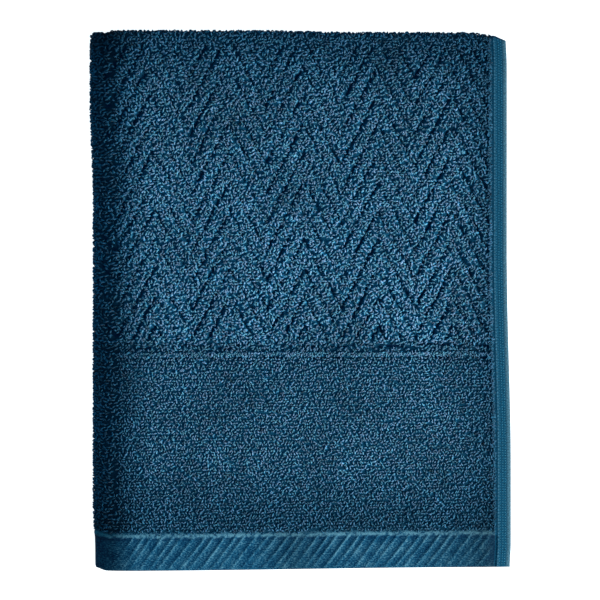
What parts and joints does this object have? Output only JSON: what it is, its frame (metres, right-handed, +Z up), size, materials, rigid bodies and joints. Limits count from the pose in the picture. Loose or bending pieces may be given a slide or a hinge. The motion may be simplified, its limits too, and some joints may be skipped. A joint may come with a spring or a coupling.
{
  "type": "folded bath towel",
  "caption": "Thick terry bath towel, folded flat, with a raised chevron field, a plain pile band, flat-woven end hems and narrow side hems",
  "frame": {"origin": "centre of the footprint, on the flat underside the folded towel rests on", "axes": "+Z up through the folded layers; +Y along the folded length, away from the end hem that lies on top; +X towards the open side hems, so the last fold lies at -X"},
  "size_m": [0.3846, 0.4938, 0.0312],
  "materials": {
    "terry_cloth": "deep teal-blue looped cotton pile, matte"
  },
  "bodies": {
    "root": {"bath_towel": "terry_cloth"}
  },
  "joints": []
}
